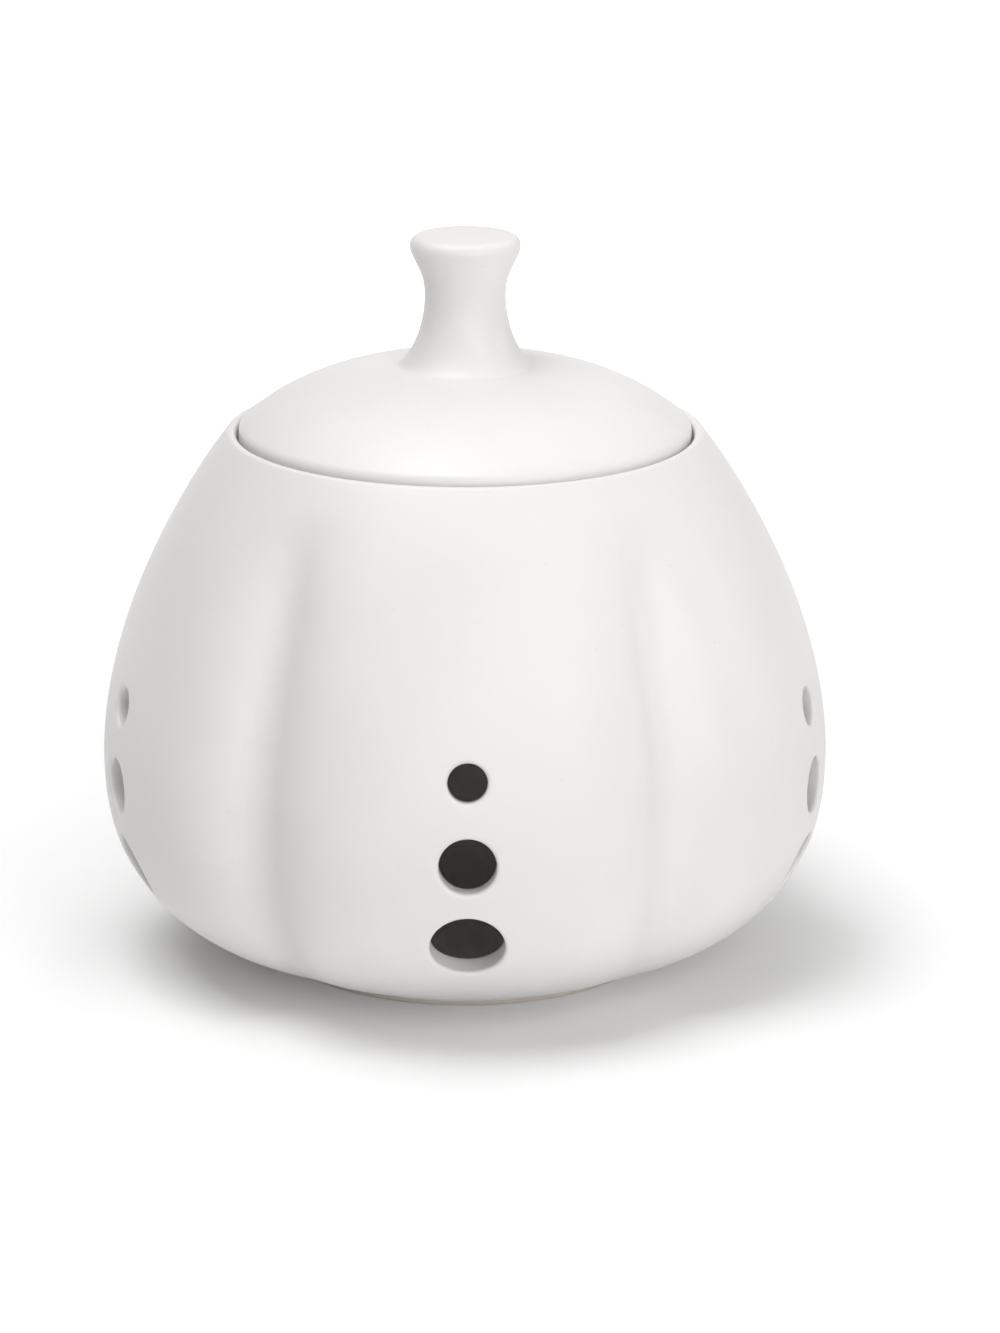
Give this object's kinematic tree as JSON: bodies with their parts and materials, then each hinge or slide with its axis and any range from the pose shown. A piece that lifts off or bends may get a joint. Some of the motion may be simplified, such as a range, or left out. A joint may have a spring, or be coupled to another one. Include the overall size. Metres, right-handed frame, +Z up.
{
  "type": "garlic keeper",
  "caption": "Round lobed ceramic keeper for garlic, with columns of vents that let air through its wall, and a domed lid with a knob that drops into its mouth and lifts off.",
  "frame": {"origin": "on the surface that the pot stands on, at the centre of its foot ring", "axes": "+Z up along the axis of the pot and lid; one column of vents faces -Y"},
  "size_m": [0.1396, 0.1373, 0.1406],
  "materials": {
    "pot_ceramic": "matte",
    "lid_ceramic": "matte"
  },
  "bodies": {
    "pot": {"pot": "pot_ceramic"},
    "lid": {"lid": "lid_ceramic"}
  },
  "joints": [
    {"name": "lid_lift", "type": "slide", "parent": "pot", "child": "lid", "axis": [0, 0, 1], "range_m": [0, 0.06]}
  ]
}
